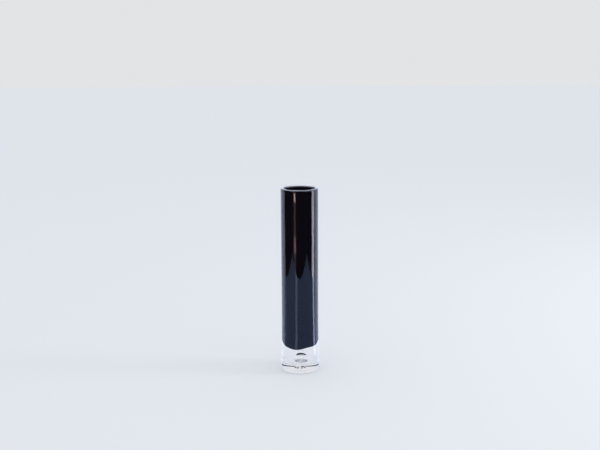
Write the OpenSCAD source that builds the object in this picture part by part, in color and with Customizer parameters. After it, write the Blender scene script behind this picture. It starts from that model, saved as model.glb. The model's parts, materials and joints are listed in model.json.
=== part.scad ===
// Hand blown cased glass vase: a tall straight cylinder with a dark colour lining, two coats of
// clear glass over it, and a heavy clear foot that holds one trapped bubble of air.
// Millimetres, +Z up. The origin is the centre of the resting face.

/* [Body] */
// Height from the resting face to the top of the rim
height = 200; // [120:1:320]
// Outer diameter of the straight body
body_d = 40; // [32:0.5:80]

/* [Wall layers] */
// Thickness of the colour lining in the wall
colour_t = 0.6; // [0.5:0.1:3]
// Thickness of the first clear gather in the wall
first_t = 1.1; // [0.4:0.1:3]
// Thickness of the outer clear gather in the wall
outer_t = 1.8; // [0.6:0.1:3]
// Thickness of the colour at the middle of its floor
colour_floor_t = 2; // [1:0.1:8]
// How far the colour's lowest point lies off the axis, towards -X
colour_shift = 1.5; // [0:0.1:2.4]
// How much larger the radius of each round bottom is than the layer's own radius
bottom_ease = 1; // [0.4:0.1:6]

/* [Rim] */
// Radius of the rim's outer edge
rim_outer_r = 1.2; // [0.2:0.1:4]
// Radius of the rim's inner edge
rim_inner_r = 0.5; // [0.2:0.1:4]

/* [Foot] */
// How far the foot stands out past the body, on the radius
swell = 0.75; // [0.2:0.05:3]
// Height over which the foot narrows to the body
swell_h = 36; // [15:1:60]
// Radius of the polished bottom edge
edge_r = 0.8; // [0.4:0.1:5]
// Diameter of the ground flat that the vase rests on
rest_d = 26; // [24:0.2:31]
// How far the ground flat stands down below the rest of the underside
rest_step = 0.6; // [0.1:0.1:1]
// How wide the slope is that leads up from the ground flat to the rest of the underside
rest_slope = 1.8; // [0.5:0.1:3]
// Diameter of the polished hollow in the underside
pontil_d = 16; // [6:0.5:22]
// Depth of the polished hollow in the underside
pontil_depth = 0.8; // [0.2:0.1:3]

/* [Trapped bubble] */
// Diameter of the air bubble
bubble_d = 11.5; // [3:0.1:14]
// Clear glass under the bubble
glass_under_bubble = 7.2; // [4:0.1:20]
// Clear glass between the bubble and the colour
glass_over_bubble = 5.5; // [2:0.1:20]
// How far the bubble lies off the axis, towards +X
bubble_shift = 0.6; // [0:0.1:3]

/* [Hidden] */

$fn = 128;
// the swell's circle is so large that it needs far more sides for the same smoothness
swell_fn = 3000;

body_r = body_d / 2;
first_r = body_r - outer_t;
colour_r = first_r - first_t;
bore_r = colour_r - colour_t;
foot_r = body_r + swell;
edge_z = rest_step + edge_r;

// the two rounded edges of the rim share the wall, so neither may take more than its part
wall = body_r - bore_r;
outer_share = 0.6;
rim_out = min(rim_outer_r, wall * outer_share);
rim_in = min(rim_inner_r, wall * (1 - outer_share));

// the foot bulges on one large arc, upright where it meets the bottom edge
swell_r = (swell_h * swell_h + swell * swell) / (2 * swell);

bubble_z = glass_under_bubble + bubble_d / 2;
colour_z = glass_under_bubble + bubble_d + glass_over_bubble;

// the hollow in the underside is part of a sphere
pontil_r = (pontil_d * pontil_d / 4 + pontil_depth * pontil_depth) / (2 * pontil_depth);

// how far a cut or a layer's form runs on past the rim
past_rim = 10;

// Outline of the whole vase without its bore, from the axis outwards
module outline() {
    polygon([
        [0, 0],
        [rest_d / 2, 0],
        [rest_d / 2 + rest_slope, rest_step],
        [rest_d / 2 + rest_slope, edge_z],
        [0, edge_z]
    ]);
    translate([0, rest_step]) square([foot_r - edge_r, edge_r]);
    translate([foot_r - edge_r, edge_z]) circle(r = edge_r);
    translate([0, edge_z]) square([body_r, height - rim_out - edge_z]);
    intersection() {
        translate([foot_r - swell_r, edge_z]) circle(r = swell_r, $fn = swell_fn);
        translate([0, edge_z]) square([foot_r + swell, swell_h]);
    }
    translate([0, edge_z]) square([body_r - rim_out, height - rim_in - edge_z]);
    translate([bore_r + rim_in, edge_z]) square([wall - rim_out - rim_in, height - edge_z]);
    translate([body_r - rim_out, height - rim_out]) circle(r = rim_out);
    translate([bore_r + rim_in, height - rim_in]) circle(r = rim_in);
}

// The vase as one block, with its outer surface, round rim and polished underside
module whole_form() {
    difference() {
        rotate_extrude() outline();
        translate([0, 0, pontil_depth - pontil_r]) sphere(r = pontil_r);
    }
}

// The space inside one layer: a cylinder of radius r with a round bottom that starts at low_z,
// off the axis by shift, and runs on past the rim
module round_bottomed(r, low_z, shift) {
    round_r = r + shift + bottom_ease;
    top_z = height + past_rim;
    intersection() {
        translate([0, 0, low_z]) cylinder(r = r, h = top_z - low_z);
        translate([-shift, 0, low_z + round_r]) {
            sphere(r = round_r);
            cylinder(r = round_r, h = top_z - low_z - round_r);
        }
    }
}

module bore_space() {
    round_bottomed(bore_r, colour_z + colour_floor_t, 0);
}

module colour_space() {
    round_bottomed(colour_r, colour_z, colour_shift);
}

module first_space() {
    round_bottomed(first_r, bubble_z, 0);
}

module bubble() {
    translate([bubble_shift, 0, bubble_z]) sphere(d = bubble_d);
}

// Dark colour lining, closed at the bottom
module colour_underlay() {
    color([0.06, 0.07, 0.13])
    difference() {
        intersection() {
            whole_form();
            colour_space();
        }
        bore_space();
    }
}

// First coat of clear glass, with the dimple that holds the upper half of the bubble
module first_clear_gather() {
    color([0.8, 0.87, 0.92, 0.5])
    difference() {
        intersection() {
            whole_form();
            first_space();
        }
        colour_space();
        bubble();
    }
}

// Second coat of clear glass: outer skin, heavy foot, and the lower half of the bubble
module outer_clear_gather() {
    color([0.86, 0.91, 0.95, 0.5])
    difference() {
        whole_form();
        first_space();
        bubble();
    }
}

colour_underlay();
first_clear_gather();
outer_clear_gather();
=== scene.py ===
import json
import math

import bmesh
import bpy
from bpy.props import FloatProperty, FloatVectorProperty, IntProperty, PointerProperty
from mathutils import Matrix, Vector


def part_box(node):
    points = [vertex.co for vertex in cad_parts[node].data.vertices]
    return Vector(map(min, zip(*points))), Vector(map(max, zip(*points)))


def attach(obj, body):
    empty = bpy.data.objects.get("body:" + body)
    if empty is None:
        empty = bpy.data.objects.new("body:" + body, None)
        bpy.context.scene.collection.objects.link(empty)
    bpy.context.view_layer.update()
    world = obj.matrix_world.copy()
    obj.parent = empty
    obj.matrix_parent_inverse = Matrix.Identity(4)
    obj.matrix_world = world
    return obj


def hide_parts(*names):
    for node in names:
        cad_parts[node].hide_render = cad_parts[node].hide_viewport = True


bl_info = {
    "name": "Blown Glass Vase",
    "version": (1, 0, 0),
    "blender": (4, 5, 0),
    "location": "3D View > Sidebar > Vase",
    "description": "Makes a cased, hand blown cylinder vase with a bubble in its foot, and its studio",
    "category": "Add Mesh",
}

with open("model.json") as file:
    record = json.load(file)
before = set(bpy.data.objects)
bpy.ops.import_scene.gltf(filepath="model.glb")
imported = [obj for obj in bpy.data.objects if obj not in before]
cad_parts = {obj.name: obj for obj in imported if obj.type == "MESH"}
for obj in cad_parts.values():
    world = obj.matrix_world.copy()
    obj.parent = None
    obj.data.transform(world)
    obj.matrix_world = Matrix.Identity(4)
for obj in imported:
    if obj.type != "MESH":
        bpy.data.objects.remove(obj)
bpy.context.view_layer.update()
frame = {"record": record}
MM = 0.001

# two places nearer than this are the same place
CLOSE = 0.001 * MM


def mount(name):
    """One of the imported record's mounts."""
    return next(m for m in frame["record"]["mounts"] if m["name"] == name)


FOOT_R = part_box("outer_clear_gather")[1][0]
FIRST_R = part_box("first_clear_gather")[1][0]
LINING_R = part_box("colour_underlay")[1][0]
BORE_R = mount("mouth_bore")["dims"]["r_mm"] * MM
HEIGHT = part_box("outer_clear_gather")[1][2]
BUBBLE_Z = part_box("first_clear_gather")[0][2]
LINING_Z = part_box("colour_underlay")[0][2]


class VaseSizes(bpy.types.PropertyGroup):
    """Sizes of the glass, in metres"""

    outer_wall: FloatProperty(
        name="Outer Gather", description="Thickness of the outer clear gather in the wall",
        default=1.8 * MM, min=0.2 * MM, subtype="DISTANCE", unit="LENGTH")
    swell_height: FloatProperty(
        name="Swell Height", description="Height over which the foot narrows to the body",
        default=46 * MM, min=10 * MM, subtype="DISTANCE", unit="LENGTH")
    edge_radius: FloatProperty(
        name="Bottom Edge", description="Radius of the polished bottom edge",
        default=0.2 * MM, min=0.1 * MM, subtype="DISTANCE", unit="LENGTH")
    pontil_radius: FloatProperty(
        name="Pontil Radius", description="Radius of the polished hollow in the underside",
        default=8 * MM, min=1 * MM, subtype="DISTANCE", unit="LENGTH")
    scar_radius: FloatProperty(
        name="Scar Radius", description="Radius of the scar left by the pontil iron",
        default=7 * MM, min=1 * MM, subtype="DISTANCE", unit="LENGTH")
    scar_narrow: FloatProperty(
        name="Scar Narrowness", description="Width of the scar as a share of its length",
        default=0.65, min=0.2, max=1, subtype="FACTOR")
    scar_back: FloatProperty(
        name="Scar Shift", description="How far the scar lies behind the axis",
        default=8 * MM, min=0, subtype="DISTANCE", unit="LENGTH")
    scar_depth: FloatProperty(
        name="Scar Depth", description="How rough the scar left by the pontil iron is",
        default=1.2 * MM, min=0, subtype="DISTANCE", unit="LENGTH")
    rest_radius: FloatProperty(
        name="Resting Ring", description="Outer radius of the ground flat that the vase rests on",
        default=13 * MM, min=2 * MM, subtype="DISTANCE", unit="LENGTH")
    rest_height: FloatProperty(
        name="Resting Ring Height", description="How far the ground flat stands down",
        default=0.6 * MM, min=0.05 * MM, subtype="DISTANCE", unit="LENGTH")
    rest_slope: FloatProperty(
        name="Resting Ring Slope", description="How wide the slope outside the ground flat is",
        default=1.8 * MM, min=0.1 * MM, subtype="DISTANCE", unit="LENGTH")
    pontil_depth: FloatProperty(
        name="Pontil Depth", description="Depth of the polished hollow in the underside",
        default=0.8 * MM, min=0, subtype="DISTANCE", unit="LENGTH")
    bubble_radius: FloatProperty(
        name="Bubble Radius", description="Radius of the trapped air bubble, seen from above",
        default=6.2 * MM, min=1 * MM, subtype="DISTANCE", unit="LENGTH")
    bubble_flat: FloatProperty(
        name="Bubble Height", description="Height of the bubble as a share of its width",
        default=0.95, min=0.5, max=1.5, subtype="FACTOR")
    bubble_shift: FloatProperty(
        name="Bubble Shift", description="How far the bubble lies off the axis, towards +X",
        default=0.6 * MM, subtype="DISTANCE", unit="LENGTH")
    cup_round: FloatProperty(
        name="Cup Round", description="Radius of the corner at the bottom of the colour lining",
        default=15 * MM, min=2 * MM, subtype="DISTANCE", unit="LENGTH")
    rim_round: FloatProperty(
        name="Rim Round", description="Radius of the rim's inner edge",
        default=0.45 * MM, min=0.2 * MM, subtype="DISTANCE", unit="LENGTH")
    rim_edge: FloatProperty(
        name="Rim Edge", description="Radius of the rim's outer edge",
        default=1.2 * MM, min=0.2 * MM, subtype="DISTANCE", unit="LENGTH")
    rim_cover: FloatProperty(
        name="Rim Cover", description="Height of the clear glass that covers the end of the lining",
        default=0.5 * MM, min=0.2 * MM, subtype="DISTANCE", unit="LENGTH")
    floor_wall: FloatProperty(
        name="Lining Floor", description="Thickness of the colour lining at its bottom",
        default=2 * MM, min=0.5 * MM, subtype="DISTANCE", unit="LENGTH")
    wobble: FloatProperty(
        name="Wobble", description="How far the hand shaped wall wanders from a true cylinder",
        default=0.05 * MM, min=0, subtype="DISTANCE", unit="LENGTH")
    steps: IntProperty(
        name="Steps", description="Number of steps in one turn of the glass",
        default=160, min=24, max=256)


class VaseColours(bpy.types.PropertyGroup):
    """Colours of the glass"""

    clear: FloatVectorProperty(
        name="Clear Glass", description="Tint of the clear glass",
        subtype="COLOR", size=3, min=0, max=1, default=(0.985, 0.992, 1.0))
    lining: FloatVectorProperty(
        name="Lining", description="Colour of the dark lining",
        subtype="COLOR", size=3, min=0, max=1, default=(0.003, 0.0026, 0.0042))
    lining_cloud: FloatVectorProperty(
        name="Lining Clouds", description="Colour of the thinner clouds in the dark lining",
        subtype="COLOR", size=3, min=0, max=1, default=(0.004, 0.005, 0.010))


class VaseStudio(bpy.types.PropertyGroup):
    """Sizes and colours of the studio"""

    lens: FloatProperty(
        name="Lens", description="Focal length of the camera", default=50.1, min=1, unit="CAMERA")
    distance: FloatProperty(
        name="Camera Distance", description="Distance of the camera in front of the vase",
        default=0.87, min=0.1, subtype="DISTANCE", unit="LENGTH")
    sideways: FloatProperty(
        name="Camera Shift", description="How far the camera stands to the right of the vase",
        default=0.5 * MM, subtype="DISTANCE", unit="LENGTH")
    camera_height: FloatProperty(
        name="Camera Height", description="Height of the camera above the floor",
        default=0.3386, subtype="DISTANCE", unit="LENGTH")
    pitch: FloatProperty(
        name="Camera Pitch", description="How far the camera looks down",
        default=math.radians(11.6), subtype="ANGLE", unit="ROTATION")
    roll: FloatProperty(
        name="Camera Roll", description="How far the camera is turned about its line of sight",
        default=math.radians(-0.32), subtype="ANGLE", unit="ROTATION")
    floor: FloatVectorProperty(
        name="Floor", description="Colour of the floor",
        subtype="COLOR", size=3, min=0, max=1, default=(0.712, 0.737, 0.785))
    backdrop: FloatVectorProperty(
        name="Backdrop", description="Colour of the backdrop",
        subtype="COLOR", size=3, min=0, max=1, default=(0.764, 0.774, 0.792))


# The small bubbles in the wall: angle from the front in degrees, height and radius in mm
SEEDS = ((0, 83, 0.7), (118, 63, 0.22), (205, 148, 0.26), (291, 34, 0.2))

# What the glass mirrors, as the colours of its light
MIRRORED_ROOM = (0.055, 0.042, 0.07)
MIRRORED_WALL = (1.05, 1.17, 1.45)
MIRRORED_CEILING = (1.6, 1.72, 2.05)
MIRRORED_WINDOW = (5.5, 5.3, 6.7)
MIRRORED_STREAK = (0.75, 0.5, 0.52)
MIRRORED_GLOW = (2.6, 1.6, 1.75)
MIRRORED_SPECK = (10.5, 7.2, 6.4)
MIRRORED_TABLE = (0.40, 0.53, 0.95)
MIRRORED_LEFT_GLINT = (1.3, 1.55, 2.3)
MIRRORED_RIGHT_GLINT = (3.0, 3.6, 5.6)
ROOM_LIGHT = (0.97, 0.98, 1.0)


# ---------------------------------------------------------------- shader maths


class Socket:
    """One output of a node, with its maths written as Python expressions."""

    def __init__(self, graph, socket):
        self.graph = graph
        self.socket = socket

    def math(self, operation, *others):
        return self.graph.maths(operation, self, *others)

    def __add__(self, other):
        return self.math("ADD", other)

    def __rsub__(self, other):
        return self.graph.maths("SUBTRACT", other, self)

    def __mul__(self, other):
        return self.math("MULTIPLY", other)

    __rmul__ = __mul__

    def between(self, low, high, blur):
        """1 where the value lies from low to high, fading to 0 over blur on both sides."""
        up = self.graph.ramp(self, low - blur, low + blur)
        down = self.graph.ramp(self, high - blur, high + blur)
        return up * (1 - down)


class Graph:
    """The nodes of a material or a world, emptied and ready to be filled."""

    def __init__(self, owner):
        owner.use_nodes = True
        self.tree = owner.node_tree
        self.tree.nodes.clear()

    def add(self, kind, settings=(), sockets=(), output=0):
        """Adds a node of that kind: its settings first, then its sockets' values or links."""
        node = self.tree.nodes.new(kind)
        for name, value in dict(settings).items():
            setattr(node, name, value)
        for name, value in dict(sockets).items():
            if isinstance(value, Socket):
                self.tree.links.new(value.socket, node.inputs[name])
            else:
                node.inputs[name].default_value = value
        return Socket(self, node.outputs[output]) if node.outputs else node

    def maths(self, operation, *values):
        return self.add("ShaderNodeMath", {"operation": operation}, enumerate(values))

    def ramp(self, value, low, high):
        """0 below low, 1 above high and a smooth step between."""
        return self.add(
            "ShaderNodeMapRange",
            {"interpolation_type": "SMOOTHSTEP"},
            {"Value": value, "From Min": low, "From Max": high},
        )

    def mix(self, factor, first, second):
        """The colour first, turning into second as factor goes from 0 to 1."""
        sockets = {0: factor, 6: self.colour(first), 7: self.colour(second)}
        return self.add("ShaderNodeMix", {"data_type": "RGBA"}, sockets, output=2)

    @staticmethod
    def colour(value):
        return value if isinstance(value, Socket) else (*value, 1.0)

    def parts(self, vector):
        """The X, Y and Z of a vector."""
        node = self.add("ShaderNodeSeparateXYZ", sockets={0: vector}).socket.node
        return [Socket(self, output) for output in node.outputs]

    def finish(self, shader, kind="ShaderNodeOutputMaterial"):
        self.add(kind, sockets={"Surface": shader})


def from_front(g, x, y):
    """The angle of a direction, with 0 at the front and 90 degrees at the right."""
    return g.maths("ARCTAN2", x, -1 * y)


def sector(turned, low, high, blur):
    """1 where an angle lies between two angles given in degrees."""
    return turned.between(math.radians(low), math.radians(high), math.radians(blur))


def behind(g, turned):
    """1 where an angle points behind the vase."""
    away = g.maths("ABSOLUTE", turned)
    return g.ramp(away, math.radians(98), math.radians(104))


def material(name):
    """A new material and its empty graph."""
    made = bpy.data.materials.new(name)
    return made, Graph(made)


def clear_glass_material(colours):
    """Fire polished clear glass, with faint cords where the two gathers met."""
    made, g = material("clear_glass")
    place = g.add("ShaderNodeTexCoord", output=3)
    stretched = g.add(
        "ShaderNodeMapping", sockets={"Vector": place, "Scale": (260, 260, 24)})
    cords = g.add("ShaderNodeTexNoise", sockets={"Vector": stretched, "Scale": 1.0, "Detail": 2.0})
    bump = g.add(
        "ShaderNodeBump", sockets={"Height": cords, "Strength": 0.05, "Distance": 0.02 * MM})
    shader = g.add("ShaderNodeBsdfPrincipled", sockets={
        "Base Color": (*colours.clear, 1),
        "Roughness": 0.0,
        "IOR": 1.5,
        "Transmission Weight": 1.0,
        "Normal": bump,
    })
    g.finish(shader)
    return made


def lining_clouds(g, colours):
    """The lining's colour, with long thin clouds drawn out along the vase."""
    place = g.add("ShaderNodeTexCoord", output=3)
    drawn_out = g.add(
        "ShaderNodeMapping", sockets={"Vector": place, "Scale": (300, 300, 40)})
    clouds = g.add(
        "ShaderNodeTexNoise",
        sockets={"Vector": drawn_out, "Scale": 1.0, "Detail": 4.0, "Distortion": 0.6})
    return g.mix(g.ramp(clouds, 0.45, 0.75), colours.lining, colours.lining_cloud)


def fused_lining_material(colours):
    """The lining where clear glass is fused over it: there is no surface left to shine."""
    made, g = material("lining_under_clear_glass")
    shader = g.add("ShaderNodeBsdfPrincipled", sockets={
        "Base Color": lining_clouds(g, colours),
        "Roughness": 1.0,
        "Specular IOR Level": 0.0,
    })
    g.finish(shader)
    return made


def bore_lining_material(colours):
    """The lining inside the bore and on the rim, fire polished and slightly rippled."""
    made, g = material("lining_in_bore")
    place = g.add("ShaderNodeTexCoord", output=3)
    ripple = g.add("ShaderNodeTexNoise", sockets={"Vector": place, "Scale": 90.0, "Detail": 1.0})
    bump = g.add(
        "ShaderNodeBump", sockets={"Height": ripple, "Strength": 0.2, "Distance": 0.2 * MM})
    shader = g.add("ShaderNodeBsdfPrincipled", sockets={
        "Base Color": lining_clouds(g, colours),
        "Roughness": 0.06,
        "IOR": 1.5,
        "Normal": bump,
    })
    g.finish(shader)
    return made


# ---------------------------------------------------------------- shaping glass


def outline(bm, points):
    """A chain of edges through points given as (radius, height). Returns its vertices."""
    verts = [bm.verts.new((radius, 0, height)) for radius, height in points]
    for pair in zip(verts, verts[1:]):
        bm.edges.new(pair)
    return verts


def round_off(bm, vert, radius, segments):
    """Rounds one corner of an outline."""
    bmesh.ops.bevel(
        bm, geom=[vert], offset=radius, offset_type="OFFSET", segments=segments,
        profile=0.5, affect="VERTICES", material=-1, clamp_overlap=False)


def cut_long_edges(bm, longest):
    """Cuts every edge of an outline into pieces no longer than longest."""
    for edge in list(bm.edges):
        cuts = math.ceil(edge.calc_length() / longest) - 1
        if cuts > 0:
            bmesh.ops.subdivide_edges(bm, edges=[edge], cuts=cuts)


def turn(bm, steps):
    """Spins an outline once round the Z axis and closes its seam and its poles."""
    bmesh.ops.spin(
        bm, geom=bm.verts[:] + bm.edges[:], cent=(0, 0, 0), axis=(0, 0, 1),
        angle=2 * math.pi, steps=steps, use_merge=True, use_duplicate=False)
    bmesh.ops.remove_doubles(bm, verts=bm.verts[:], dist=CLOSE)
    bmesh.ops.recalc_face_normals(bm, faces=bm.faces[:])


def add_void(bm, radius, stretch, place, segments):
    """A closed hollow in the glass. Its faces look into the hollow, away from the glass."""
    made = bmesh.ops.create_uvsphere(
        bm, u_segments=segments, v_segments=segments // 2, radius=radius,
        matrix=Matrix.Translation(place) @ Matrix.Diagonal((1, 1, stretch, 1)))
    faces = {face for vert in made["verts"] for face in vert.link_faces}
    bmesh.ops.reverse_faces(bm, faces=list(faces))


def smooth_step(value):
    value = min(max(value, 0.0), 1.0)
    return value * value * (3 - 2 * value)


def hand_wobble(angle, height):
    """How the wall wanders, from -1 to 1, at an angle and a height in metres."""
    slow = math.sin(2 * angle + 1.1 + 31 * height) + math.sin(3 * angle - 0.4 - 57 * height)
    quick = math.sin(5 * angle + 2.3 + 140 * height) + math.sin(150 * height + 0.7)
    return 0.3 * slow + 0.2 * quick


def pontil_scar(across, back):
    """Furrows, from 0 to 1, at a place given in shares of the scar's size."""
    share = math.hypot(across, back)
    furrows = 0.5 + 0.5 * math.cos(6 * math.atan2(back, across) + 3 * share - 1.2)
    return furrows * smooth_step(2 * share) * smooth_step(2 - 2 * share)


def underside_rise(sizes, place, radius):
    """How far the polished hollow and the pontil scar lift the underside at a place."""
    dip = max(1 - (radius / sizes.pontil_radius) ** 2, 0)
    across = place.x / (sizes.scar_radius * sizes.scar_narrow)
    back = (place.y - sizes.scar_back) / sizes.scar_radius
    return sizes.pontil_depth * dip + sizes.scar_depth * pontil_scar(across, back)


def lopsided(place):
    """How far the round bottom of the lining sits above a level one, at a place in metres."""
    fade = 1 - smooth_step((place.z - LINING_Z - 6 * MM) / (16 * MM))
    across = place.x / LINING_R
    lift = 3.3 * smooth_step(across + 0.3) - 3.9 * smooth_step((across - 0.2) / 0.7) - 1.2
    lift += 3.2 * smooth_step((math.hypot(place.x, place.y) - 11 * MM) / (3 * MM))
    return fade * MM * lift


def keep(name, bm, materials, replaced):
    """Makes the finished mesh a piece of the vase that stands for its CAD nodes."""
    mesh = bpy.data.meshes.new(name)
    bm.to_mesh(mesh)
    bm.free()
    mesh.shade_smooth()
    for made in materials:
        mesh.materials.append(made)
    piece = bpy.data.objects.new(name, mesh)
    bpy.context.scene.collection.objects.link(piece)
    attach(piece, "root")
    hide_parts(*replaced)
    return piece


class MakeClearGlass(bpy.types.Operator):
    """Make the two clear gathers, fused into one body of glass with the bubble in its foot"""

    bl_idname = "vase.make_clear_glass"
    bl_label = "Clear Glass"

    def execute(self, context):
        sizes = context.scene.vase_sizes
        colours = context.scene.vase_colours
        body_r = FIRST_R + sizes.outer_wall
        rim_z = HEIGHT - sizes.rim_cover
        sunk = 0.06 * MM
        inner_r = LINING_R - sunk
        bm = bmesh.new()
        corners = outline(bm, [
            (0, 0), (sizes.rest_radius, 0),
            (sizes.rest_radius + sizes.rest_slope, sizes.rest_height),
            (body_r, sizes.rest_height), (body_r, HEIGHT), (BORE_R, HEIGHT),
            (BORE_R, rim_z), (inner_r, rim_z), (inner_r, LINING_Z + sunk), (0, LINING_Z + sunk)])
        round_off(bm, corners[3], sizes.edge_radius, 10)
        round_off(bm, corners[4], sizes.rim_edge, 10)
        round_off(bm, corners[5], sizes.rim_round, 10)
        round_off(bm, corners[8], sizes.cup_round, 14)
        # the scar needs finer steps than the rest of the outline
        flat = bm.edges.get(corners[0:2])
        slope = bm.edges.get(corners[1:3])
        bmesh.ops.subdivide_edges(bm, edges=[flat], cuts=38)
        bmesh.ops.subdivide_edges(bm, edges=[slope], cuts=5)
        cut_long_edges(bm, 1.6 * MM)
        turn(bm, sizes.steps)
        for vert in bm.verts:
            self.shape(vert.co, sizes, body_r, inner_r)
        bmesh.ops.recalc_face_normals(bm, faces=bm.faces[:])
        add_void(
            bm, sizes.bubble_radius, sizes.bubble_flat, (sizes.bubble_shift, 0, BUBBLE_Z), 96)
        for angle, height, radius in SEEDS:
            self.add_seed(bm, math.radians(angle), height * MM, radius * MM)
        keep("clear_glass", bm, [clear_glass_material(colours)],
             ["first_clear_gather", "outer_clear_gather"])
        return {"FINISHED"}

    @staticmethod
    def add_seed(bm, angle, height, radius):
        """A tiny air bubble in the wall. Angle 0 is at the front."""
        across = FIRST_R + 0.7 * MM
        place = (across * math.sin(angle), -across * math.cos(angle), height)
        add_void(bm, radius, 1.3, place, 16)

    @staticmethod
    def shape(place, sizes, body_r, inner_r):
        """Moves one point of the turned form to where the hand made glass has it."""
        radius = math.hypot(place.x, place.y)
        if place.z < sizes.rest_height - CLOSE:
            place.z += underside_rise(sizes, place, radius)
        elif radius > inner_r + CLOSE:
            swell = (FOOT_R - body_r) * (1 - smooth_step((place.z - 6 * MM) / sizes.swell_height))
            wander = sizes.wobble * hand_wobble(math.atan2(place.y, place.x), place.z)
            outward = smooth_step((radius / body_r - 0.6) / 0.3)
            scale = 1 + outward * (swell + wander) / radius
            place.x *= scale
            place.y *= scale
        elif place.z > LINING_Z - 1 * MM:
            place.z += lopsided(place)


class MakeColourLining(bpy.types.Operator):
    """Make the dark colour lining, with its bore and its round, lopsided bottom"""

    bl_idname = "vase.make_colour_lining"
    bl_label = "Colour Lining"

    def execute(self, context):
        sizes = context.scene.vase_sizes
        colours = context.scene.vase_colours
        rim_z = HEIGHT - sizes.rim_cover
        wall = LINING_R - BORE_R
        bm = bmesh.new()
        corners = outline(bm, [
            (0, LINING_Z), (LINING_R, LINING_Z), (LINING_R, rim_z), (BORE_R, rim_z),
            (BORE_R, LINING_Z + sizes.floor_wall), (0, LINING_Z + sizes.floor_wall)])
        round_off(bm, corners[1], sizes.cup_round, 14)
        round_off(bm, corners[4], sizes.cup_round - wall, 14)
        cut_long_edges(bm, 1.6 * MM)
        turn(bm, sizes.steps)
        for face in bm.faces:
            middle = face.calc_center_median()
            radius = math.hypot(middle.x, middle.y)
            outside = radius > (LINING_R + BORE_R) / 2 and middle.z < rim_z - 0.2 * MM
            under = face.normal.z < -0.01
            fused = outside or under
            face.material_index = 0 if fused else 1
        for vert in bm.verts:
            vert.co.z += lopsided(vert.co)
        bmesh.ops.recalc_face_normals(bm, faces=bm.faces[:])
        keep("colour_lining", bm,
             [fused_lining_material(colours), bore_lining_material(colours)],
             ["colour_underlay"])
        return {"FINISHED"}


# ---------------------------------------------------------------- studio


def flat_piece(name, corners, made, hidden_from=()):
    """A flat stage piece through its corners, hidden from some kinds of ray."""
    bm = bmesh.new()
    bm.faces.new([bm.verts.new(corner) for corner in corners])
    mesh = bpy.data.meshes.new(name)
    bm.to_mesh(mesh)
    bm.free()
    mesh.materials.append(made)
    piece = bpy.data.objects.new(name, mesh)
    bpy.context.scene.collection.objects.link(piece)
    for kind in hidden_from:
        setattr(piece, "visible_" + kind, False)
    return piece


def level_corners(low_x, low_y, high_x, high_y, height):
    return [(low_x, low_y, height), (high_x, low_y, height), (high_x, high_y, height),
            (low_x, high_y, height)]


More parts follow.
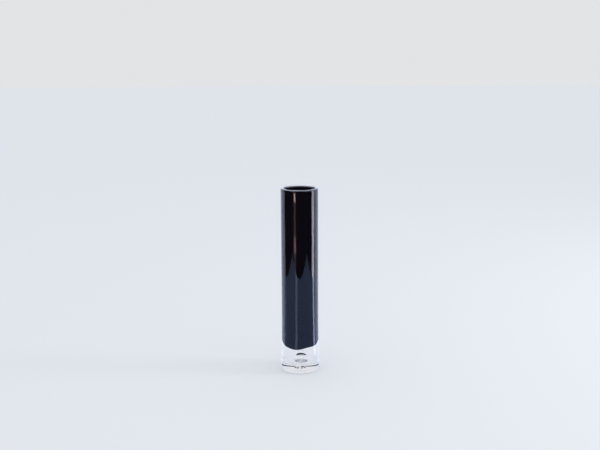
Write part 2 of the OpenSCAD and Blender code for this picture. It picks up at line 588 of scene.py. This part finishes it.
class MakeStage(bpy.types.Operator):
    """Make the pale floor, the soft light and the camera"""

    bl_idname = "vase.make_stage"
    bl_label = "Stage"

    def execute(self, context):
        scene = context.scene
        studio = scene.vase_studio
        self.make_floor(studio)
        self.make_reflected_table()
        self.make_world(scene, studio)
        self.make_key_light(scene)
        self.make_camera(scene, studio)
        scene.view_settings.view_transform = "Standard"
        scene.cycles.max_bounces = 32
        scene.cycles.transmission_bounces = 28
        scene.cycles.glossy_bounces = 16
        return {"FINISHED"}

    @staticmethod
    def make_floor(studio):
        made, g = material("pale_floor")
        g.finish(g.add("ShaderNodeBsdfPrincipled", sockets={
            "Base Color": (*(0.5 * part for part in studio.floor), 1),
            "Roughness": 0.5,
            "Specular IOR Level": 0.0,
            "Emission Color": (*(0.55 * part for part in studio.floor), 1),
            "Emission Strength": 1.0,
        }))
        reach = 8.0
        flat_piece("floor", level_corners(-reach, -reach, reach, reach, -0.2 * MM), made, ["glossy"])

    @staticmethod
    def make_reflected_table():
        """The part of the floor that the vase mirrors: a table top with near edges."""
        made, g = material("reflected_table")
        place = g.add("ShaderNodeTexCoord", output=3)
        x, y = g.parts(place)[:2]
        turned = from_front(g, x, y)
        reach = g.maths("SQRT", x * x + y * y)
        far = g.ramp(reach, 60 * MM, 80 * MM)
        left_glint = far * sector(turned, -27, -16, 6)
        right_glint = far * sector(turned, 84, 97, 3)
        colour = g.mix(behind(g, turned), MIRRORED_TABLE, MIRRORED_WALL)
        colour = g.mix(left_glint, colour, MIRRORED_LEFT_GLINT)
        colour = g.mix(right_glint, colour, MIRRORED_RIGHT_GLINT)
        g.finish(g.add("ShaderNodeEmission", sockets={"Color": colour}))
        flat_piece(
            "reflected_table", level_corners(-0.41, -0.414, 0.40, 0.16, -0.1 * MM), made,
            ["camera", "diffuse", "transmission", "shadow"])

    @staticmethod
    def make_world(scene, studio):
        """A pale backdrop, lit evenly, and a dark room in front for the glass to mirror."""
        world = bpy.data.worlds.new("studio")
        scene.world = world
        g = Graph(world)
        path = g.add("ShaderNodeLightPath").socket.node
        camera = Socket(g, path.outputs["Is Camera Ray"])
        through = Socket(g, path.outputs["Is Transmission Ray"])
        glossy = Socket(g, path.outputs["Is Glossy Ray"])
        direction = g.add("ShaderNodeTexCoord", output=0)
        x, y, z = g.parts(direction)
        turned = from_front(g, x, y)
        glow = z.between(-0.235, -0.214, 0.003)
        speck = sector(turned, -33, -25, 3) * z.between(-0.173, -0.163, 0.003)
        room = g.mix(behind(g, turned), MIRRORED_ROOM, MIRRORED_WALL)
        room = g.mix(sector(turned, -35, -23, 4), room, g.mix(glow, MIRRORED_STREAK, MIRRORED_GLOW))
        room = g.mix(speck, room, MIRRORED_SPECK)
        room = g.mix(sector(turned, 81, 98, 2), room, MIRRORED_WINDOW)
        room = g.mix(g.ramp(z, 0.1, 0.35), room, MIRRORED_CEILING)
        light = g.mix(glossy, ROOM_LIGHT, room)
        shown = g.maths("MAXIMUM", camera, through)
        g.finish(
            g.add("ShaderNodeBackground", sockets={"Color": g.mix(shown, light, studio.backdrop)}),
            "ShaderNodeOutputWorld")

    @staticmethod
    def make_key_light(scene):
        data = bpy.data.lights.new("key", "AREA")
        data.shape = "RECTANGLE"
        data.size = 300 * MM
        data.size_y = 150 * MM
        data.energy = 6.0
        key = bpy.data.objects.new("key", data)
        scene.collection.objects.link(key)
        key.location = (1.2, -0.05, 0.42)
        aim = Vector((0, 0, 80 * MM)) - key.location
        key.rotation_euler = aim.to_track_quat("-Z", "Y").to_euler()
        key.visible_glossy = False
        key.visible_camera = False
        key.visible_transmission = False

    @staticmethod
    def make_camera(scene, studio):
        data = bpy.data.cameras.new("camera")
        data.lens = studio.lens
        data.sensor_width = 36.0
        data.clip_start = 0.01
        data.clip_end = 50.0
        camera = bpy.data.objects.new("camera", data)
        scene.collection.objects.link(camera)
        camera.location = (studio.sideways, -studio.distance, studio.camera_height)
        tilt = Matrix.Rotation(math.pi / 2 - studio.pitch, 4, "X")
        camera.rotation_euler = (tilt @ Matrix.Rotation(studio.roll, 4, "Z")).to_euler()
        scene.camera = camera


class VasePanel(bpy.types.Panel):
    """The vase's sizes, colours and pieces"""

    bl_idname = "VASE_PT_pieces"
    bl_label = "Blown Glass Vase"
    bl_space_type = "VIEW_3D"
    bl_region_type = "UI"
    bl_category = "Vase"

    def draw(self, context):
        layout = self.layout
        for group in (context.scene.vase_sizes, context.scene.vase_colours, context.scene.vase_studio):
            box = layout.box()
            for name in group.__annotations__:
                box.prop(group, name)
        for operator in OPERATORS:
            layout.operator(operator.bl_idname)


GROUPS = {"vase_sizes": VaseSizes, "vase_colours": VaseColours, "vase_studio": VaseStudio}
OPERATORS = (MakeColourLining, MakeClearGlass, MakeStage)


def register():
    for group in (*GROUPS.values(), *OPERATORS, VasePanel):
        bpy.utils.register_class(group)
    for name, group in GROUPS.items():
        setattr(bpy.types.Scene, name, PointerProperty(type=group))


def unregister():
    for name in GROUPS:
        delattr(bpy.types.Scene, name)
    for group in reversed((*GROUPS.values(), *OPERATORS, VasePanel)):
        bpy.utils.unregister_class(group)


def main():
    register()
    bpy.ops.vase.make_colour_lining()
    bpy.ops.vase.make_clear_glass()
    bpy.ops.vase.make_stage()


if __name__ == "__main__":
    main()
